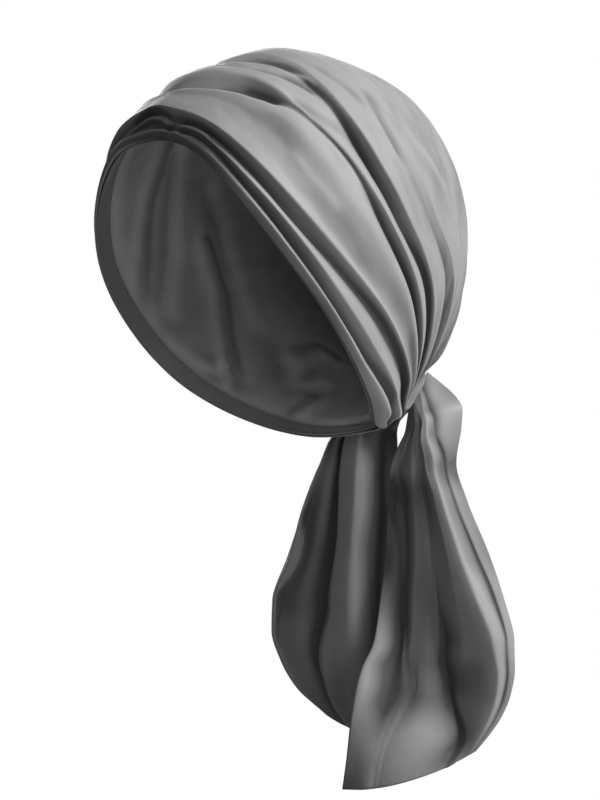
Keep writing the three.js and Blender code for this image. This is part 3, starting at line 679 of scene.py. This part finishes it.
# %% The lining
LINING_ROWS = 130
LINING_COLUMNS = 241
LINING_SIZE = (0.5, 0.28)
LINING_LENGTH = 280  # millimetres from its edge to its crown
LINING_LEAD_IN = 0.22  # rings over which it leaves the hem
LINING_EDGE = 0.8  # of the band's width, where its edge lies
LINING_UNDER = 1.2  # millimetres under the wrap there
LINING_CLEAR = 3.8  # millimetres more that the lining keeps inside the folds near the rim
LINING_CLEAR_ENDS = (0.25, 0.6)  # rings over which that fades
LINING_SETTLES = 0.06  # rings over which creases come in at the edge
LINING_CLOSES = 0.1  # and end at the crown
LINING_WRINKLE = 0.9  # millimetres
LINING_WRINKLE_REACH = (1.6, 0.25)  # its wrinkles are wider round the head and longer to the crown
LINING_SEED = 11
LINING_CROWDING = 1.25  # above 1, rows lie closer together near the rim
LINING_STROKES = [
    (-3, 5, [(-40, 0.17), (-49, 0.15), (-56, 0.125), (-72, 0.08), (-84, 0.02)]),
    (3.2, 6, [(-47, 0.215), (-56, 0.2), (-65, 0.18), (-80, 0.14), (-92, 0.07)]),
    (-3, 4, [(-82, 0.209), (-99, 0.177), (-114, 0.108), (-120, 0.074)]),
    (3, 8, [(-68, 0.28), (-80, 0.28), (-97, 0.24), (-112, 0.18)]),
    (3, 3, [(-117, 0.069), (-121, 0.03)]),
    (-2.6, 5, [(-131, 0.197), (-135, 0.257), (-143, 0.26)]),
    (3.2, 6, [(-132, 0.157), (-138, 0.117), (-145, 0.141)]),
    (-2.4, 3, [(-147, 0.1), (-145, 0.029)]),
    (2.4, 4, [(-100, 0.02), (-110, 0.03), (-118, 0.05)]),
]


def place_lining(down, across):
    """Points of the lining at shares of the way to its crown, and round it."""
    angle = np.pi * (2 * across - 1)
    ring = down**LINING_CROWDING
    settled = smooth_step(ring, 0, LINING_SETTLES) * smooth_step(1 - ring, 0, LINING_CLOSES)
    wide, long = LINING_WRINKLE_REACH
    wrinkles = LINING_WRINKLE * fine_wrinkles(wide * angle, long * ring, LINING_SEED)
    height = settled * (strokes_over(LINING_STROKES, angle, ring, LINING_LENGTH) + wrinkles)
    height = height - LINING_CLEAR * settled * (1 - smooth_step(ring, *LINING_CLEAR_ENDS))
    point = raised_point(lining_cap, ring, angle, height)
    edge = under_rim(BAND_WIDTH * LINING_EDGE, angle, LINING_UNDER)
    lead = 1 - smooth_step(ring, 0, LINING_LEAD_IN)
    return point + (edge - raised_point(lining_cap, 0 * ring, angle, 0 * ring)) * lead[:, None]


lining_bm = spread_grid(place_lining, LINING_ROWS, LINING_COLUMNS, LINING_SIZE, HEAD_MIDDLE, closes=True)
lining = finish_piece("lining_cloth", lining_bm, inner_jersey)
print("lining faces", len(lining.data.polygons))

# %% [markdown]
# At the nape everything runs into one short roll of cloth. Most of it is hidden by the ends of the
# pleats, so it is a plain roll with blunt ends and a few windings that turn along it.

# %% The knot
KNOT = np.array((0, 78, -169.5))  # where the tails start
KNOT_MIDDLE = KNOT + (-0.5, -3, 1.5)
KNOT_ROWS = 40
KNOT_COLUMNS = 61
KNOT_SIZE = (0.04, 0.03)
KNOT_RADIUS = 4.4  # millimetres
KNOT_HALF_LENGTH = 14
KNOT_LEAN = math.radians(56)
KNOT_BLUNTNESS = 0.6  # below 1, the ends are blunter than a ball's
KNOT_WIDER = 1.15  # from side to side
WINDINGS = 3
WINDING_DEPTH = 0.07  # of the radius
WINDING_TWIST = 5


def place_knot(down, across):
    """Points of the knot at shares of its length and of the way round it."""
    turn = np.pi * down
    round_it = 2 * np.pi * across
    windings = 1 + WINDING_DEPTH * np.sin(WINDINGS * round_it + WINDING_TWIST * turn)
    out = KNOT_RADIUS * np.maximum(np.sin(turn), 0) ** KNOT_BLUNTNESS * windings
    x = out * KNOT_WIDER * np.cos(round_it)
    y = -KNOT_HALF_LENGTH * np.cos(turn)
    z = out * np.sin(round_it)
    cos, sin = math.cos(KNOT_LEAN), math.sin(KNOT_LEAN)
    return KNOT_MIDDLE + np.stack([x, y * cos - z * sin, y * sin + z * cos], axis=-1)


knot_bm = spread_grid(place_knot, KNOT_ROWS, KNOT_COLUMNS, KNOT_SIZE, KNOT, closes=True)
knot = finish_piece("knot_cloth", knot_bm, outer_jersey)
print("knot faces", len(knot.data.polygons))

# %% [markdown]
# A tail is a flat cut that hangs from the knot and widens downwards. Its rows give the two edges, as
# millimetres across from the knot and down from it, and how far out the cloth hangs. Its folds run
# down it, in the same kind of table as the wrap's, at the rows named in places.

# %% The tails
TAIL_COLUMNS = "row left_across left_drop right_across right_drop out"
TAIL_LEFT_ROWS = [
    (-3.5, 4, 6, -12, 0),
    (-4, 9, 13, -6, 0),
    (-5, 14, 20, 1, 0),
    (-6, 20, 23.5, 8, 1),
    (-10, 28.5, 23, 18.5, 2),
    (-14, 40, 21, 37, 3),
    (-16, 57, 27, 57.5, 5),
    (-17.5, 83, 37.5, 84, 6),
    (-19.5, 107, 45.5, 107, 6),
    (-22, 131, 51.5, 131, 6),
    (-27.5, 145, 51.5, 145, 5.5),
    (-31, 159, 49, 159, 5.5),
    (-33.5, 175, 45, 169, 6.5),
    (-35.5, 192, 38.5, 179, 8),
    (-38, 208, 31, 188, 10),
]
TAIL_LEFT_PLACES = (0, 2, 4, 5, 6, 7, 8, 9, 11, 13, 14)
TAIL_LEFT_FOLDS = [
    ("flat", 0, (0,) * 11, (0, -0.8, -2, -3.2, -7.2, -7.2, -4.4, 0, 4.8, 3, 1)),
    ("flat", 0, (0.05, 0.05, 0.05, 0.05, 0.05, 0.12, 0.14, 0.17, 0.22, 0.2, 0.22),
     (0, -0.3, -1.5, -3, -7.2, -6.9, -6.2, -5, -0.8, 4, 3.8)),
    ("flat", 0, (0.1, 0.12, 0.15, 0.15, 0.2, 0.2, 0.19, 0.21, 0.3, 0.24, 0.26),
     (0, 0.4, -0.6, -2.4, -5.4, -5.9, -6, -4.2, -0.8, 3.9, 3.7)),
    ("edge", 0, (0.2, 0.18, 0.29, 0.38, 0.375, 0.34, 0.29, 0.27, 0.385, 0.28, 0.3),
     (0.2, 1.2, 1, 0.5, -1.8, -2.2, -2.9, -2.8, -1, 3.6, 3.5)),
    ("flat", 0, (0.24, 0.24, 0.35, 0.45, 0.48, 0.46, 0.42, 0.36, 0.39, 0.285, 0.305),
     (0, 1.4, 1.4, 0.6, -1.4, -1.5, -2.1, -2.4, -1, 3.6, 3.5)),
    ("groove", 0, (0.3, 0.28, 0.38, 0.52, 0.54, 0.5, 0.49, 0.5, 0.6, 0.76, 0.78),
     (-0.2, 1.5, 1.8, 1, -0.7, -1, -2.2, -4.6, -5.5, -5.5, -2.8)),
    ("edge", 0, (0.36, 0.32, 0.42, 0.57, 0.63, 0.635, 0.635, 0.64, 0.67, 0.82, 0.85),
     (-0.2, 1.4, 2.6, 2.1, 2.4, 2.6, 2.6, 0.3, -3.8, -4.2, -3.6)),
    ("ridge", 0, (0.42, 0.36, 0.5, 0.69, 0.72, 0.74, 0.79, 0.85, 0.91, 0.92, 0.93),
     (-0.4, 1.3, 2.4, 1.9, 2.8, 3.1, 3.8, 2.2, -1.4, -3.4, -4.6)),
    ("flat", 0, (0.6, 0.5, 0.64, 0.84, 0.86, 0.89, 0.93, 0.95, 0.96, 0.96, 0.96),
     (-1, -0.6, -0.6, -1.8, -1.2, -1.8, -2, -1.4, -3.4, -4, -5)),
    ("groove", 0, (1,) * 11, (-2, -8.4, -7.6, -5, -5, -6.6, -4.9, -4, -4.8, -4.8, -5.6)),
]
TAIL_RIGHT_ROWS = [
    (-8, 6, 0.5, 5, 2),
    (-30, 14, -11, 15, 1),
    (-50, 19, -15, 22, 0),
    (-61, 37, -15, 39, 0),
    (-71, 60, -15.5, 60.5, -1),
    (-81, 84, -16, 84, -2),
    (-90, 108.5, -16, 112, -2),
    (-90.5, 125, -16, 130.5, -2),
    (-85, 141, -16.5, 152, -2),
    (-74, 157, -16.5, 170, -2),
    (-58, 169, -16.5, 180, -2),
]
TAIL_RIGHT_PLACES = (0, 2, 3, 4, 5, 6, 7, 8, 9, 10)
TAIL_RIGHT_FOLDS = [
    ("flat", 0, (0,) * 10, (0, -1, -2, -2, -2, -1, -1, -1, -1, -1)),
    ("edge", 0, (0.1, 0.06, 0.05, 0.06, 0.1, 0.05, 0.04, 0.04, 0.05, 0.06),
     (0, 0, 0.5, 2.5, 3, 2, 1, 0.3, 0, 0)),
    ("groove", 0, (0.14, 0.1, 0.09, 0.09, 0.15, 0.09, 0.07, 0.07, 0.08, 0.1),
     (-0.5, -0.5, -0.5, -0.5, 0, -0.2, 0, 0, 0, 0)),
    ("flat", 0, (0.2, 0.18, 0.22, 0.26, 0.28, 0.28, 0.26, 0.24, 0.24, 0.24),
     (0, 0, 0, -0.3, -0.3, -0.3, 0, 0, 0, 0)),
    ("groove", 0, (0.34, 0.26, 0.33, 0.4, 0.45, 0.46, 0.41, 0.36, 0.36, 0.36),
     (-1, -2, -2.5, -2.4, -2, -1.6, -1.2, -0.8, -0.4, -0.2)),
    ("edge", 0, (0.42, 0.33, 0.39, 0.47, 0.52, 0.53, 0.48, 0.42, 0.42, 0.42),
     (1, 3, 3.2, 3, 2.8, 2.4, 2, 1.4, 0.8, 0.5)),
    ("ridge", 0, (0.6, 0.56, 0.61, 0.65, 0.66, 0.67, 0.66, 0.62, 0.6, 0.6),
     (1.5, 3.8, 4.4, 4.2, 3.8, 3.2, 2.6, 1.8, 1, 0.6)),
    ("flat", 0, (0.78, 0.76, 0.8, 0.83, 0.84, 0.86, 0.86, 0.84, 0.8, 0.8),
     (-2, -4, -4, -4, -3.4, -2.6, -2, -1.4, -1, -0.5)),
    ("flat", 0, (1,) * 10, (0, -4.5, -5, -5, -4.4, -3.6, -3, -2, -1, 0)),
]
# For each tail: the degrees that it is turned by, its tables, and the sag of its hem in millimetres.
TAILS = {
    "tail_left": (41, TAIL_LEFT_ROWS, TAIL_LEFT_PLACES, TAIL_LEFT_FOLDS, 5.5),
    "tail_right": (25, TAIL_RIGHT_ROWS, TAIL_RIGHT_PLACES, TAIL_RIGHT_FOLDS, 4),
}
HEM_SHARE = 0.2  # of the tail's rows over which the hem sags in its middle
TAIL_CLOTH = 1.2
TAIL_DEPTH = 1.55  # what the heights in the tails' tables are stretched by
TAIL_WIDTH = 80  # millimetres, about the widest of each, which sets the spacing of the mesh
TAIL_STEP = 1.2
TAIL_COUNT = 150  # rows of the mesh from the knot to the hem
TAIL_SIZE = (0.08, 0.2)
TAIL_RELIEF = 14
FAR_BEHIND = 300  # millimetres behind a tail, the point that its front faces away from
HALF_WAY_DOWN = 100


def make_tail(name):
    """One tail of cloth, which hangs from the knot."""
    facing, rows, places, folds, hem_sag = TAILS[name]
    row = columns_of(TAIL_COLUMNS, [(i, *values) for i, values in enumerate(rows)])
    turn = math.radians(facing)
    across_way = np.array((math.cos(turn), math.sin(turn), 0))
    out_way = np.array((math.sin(turn), -math.cos(turn), 0))
    below = np.array((0, 0, -1))
    levels = np.linspace(0, len(rows) - 1, TAIL_COUNT)
    shares, heights, _ = folded_rows(folds, places, levels, TAIL_WIDTH, TAIL_STEP, TAIL_WIDTH)

    def place(down, across):
        """Points of the tail at shares of the way down it, and across its width."""
        line = np.rint(across * (len(shares) - 1)).astype(int)
        level_index = np.rint(down * (TAIL_COUNT - 1)).astype(int)
        level = levels[level_index]
        share = shares[line, level_index]
        at = 2 * share - 1
        sideways = row["left_across"](level) * (1 - share) + row["right_across"](level) * share
        sag = hem_sag * np.maximum(0, 1 - (1 - down) / HEM_SHARE) * (1 - at**2)
        drop = row["left_drop"](level) * (1 - share) + row["right_drop"](level) * share + sag
        out = row["out"](level) + TAIL_DEPTH * heights[line, level_index]
        return KNOT + sideways[:, None] * across_way + out[:, None] * out_way + drop[:, None] * below

    behind = KNOT - FAR_BEHIND * out_way + HALF_WAY_DOWN * below
    tail_bm = spread_grid(place, TAIL_COUNT, len(shares), TAIL_SIZE, behind, reach=TAIL_RELIEF)
    thicken(tail_bm, TAIL_CLOTH * MM)
    return finish_piece(name + "_cloth", tail_bm, outer_jersey)


tails = {name: make_tail(name) for name in TAILS}
print("tail faces", [len(tail.data.polygons) for tail in tails.values()])

# %% [markdown]
# The floor is a pale disc well below the turban, which throws a little light up. From the photograph's
# viewpoint it doesn't show, because the camera looks up.

# %% Floor
FLOOR_HEIGHT = -1.7  # metres
FLOOR_RADIUS = 1.25
floor_bm = bmesh.new()
bmesh.ops.create_circle(floor_bm, cap_ends=True, segments=96, radius=FLOOR_RADIUS)
bmesh.ops.translate(floor_bm, verts=floor_bm.verts, vec=(0, 0, FLOOR_HEIGHT))
floor_paint = bpy.data.materials.new("floor_paint")
floor_paint.use_nodes = True
floor_shader = floor_paint.node_tree.nodes["Principled BSDF"]
floor_shader.inputs["Base Color"].default_value = (0.68, 0.68, 0.68, 1)
floor_shader.inputs["Roughness"].default_value = 0.9
floor = finish_piece("floor", floor_bm, floor_paint, smooth=False)
print("floor at", FLOOR_HEIGHT, "m")

# %% [markdown]
# The surround is white where the camera sees it, and gives hardly any light. So the shade in the folds
# stays deep on a white ground.

# %% Surround
WHITE = (1, 1, 1, 1)
SURROUND_LIGHT = 0.02
world = bpy.data.worlds.new("surround")
bpy.context.scene.world = world
world.use_nodes = True
tree = world.node_tree
background = tree.nodes["Background"]
background.inputs["Color"].default_value = WHITE
background.inputs["Strength"].default_value = SURROUND_LIGHT
seen = node(tree, "ShaderNodeBackground", Color=WHITE, Strength=1.0)
ray = node(tree, "ShaderNodeLightPath")
mix = node(tree, "ShaderNodeMixShader")
tree.links.new(ray.outputs["Is Camera Ray"], mix.inputs["Fac"])
tree.links.new(background.outputs["Background"], mix.inputs[1])
tree.links.new(seen.outputs["Background"], mix.inputs[2])
tree.links.new(mix.outputs["Shader"], tree.nodes["World Output"].inputs["Surface"])
print("surround light", SURROUND_LIGHT)

# %% [markdown]
# Large soft lights stand round the head. The strongest comes from behind and above on the wearer's
# left, and leaves the steep sides of the folds in shade. The others lift the hem, the far edge and
# the lining.

# %% Lights
LIT_POINT = Vector((0, 0, -0.12))
LIGHT_DISTANCE = 1.8


def soft_light(name, azimuth, elevation, size, power):
    """A square area light that looks at the head from a direction in degrees."""
    data = bpy.data.lights.new(name, "AREA")
    data.size = size
    data.energy = power
    light = bpy.data.objects.new(name, data)
    turn, rise = math.radians(azimuth), math.radians(elevation)
    way = Vector((math.sin(turn) * math.cos(rise), -math.cos(turn) * math.cos(rise), math.sin(rise)))
    light.location = LIT_POINT + way * LIGHT_DISTANCE
    light.rotation_euler = (-way).to_track_quat("-Z", "Y").to_euler()
    bpy.context.scene.collection.objects.link(light)


# Degrees round from the front and up, then the side in metres and the power in watts.
LIGHTS = [
    ("key", 118, 42, 0.7, 51),
    ("fill", 85, 2, 0.6, 6),
    ("low", 128, -15, 0.7, 15),
    ("back", 245, 20, 1.0, 40),
    ("front", -35, 20, 0.8, 2),
    ("inside", 48, 8, 0.7, 3.6),
]
for light in LIGHTS:
    soft_light(*light)
bpy.context.scene.view_settings.view_transform = "Standard"
print("lights", [light[0] for light in LIGHTS])

# %% [markdown]
# Each piece is told which body it moves with, and the imported node that it stands in for is hidden.
# The whole turban is one body, because nothing in it turns or slides.

# %% What each piece stands for
for piece, cad_node, slot in [
    (wrap, "wrap", "outer_cloth"),
    (band, "rim_band", "inner_cloth"),
    (lining, "lining", "inner_cloth"),
    (knot, "knot", "outer_cloth"),
    (tails["tail_left"], "tail_left", "outer_cloth"),
    (tails["tail_right"], "tail_right", "outer_cloth"),
]:
    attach(piece, "root")
    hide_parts(cad_node)
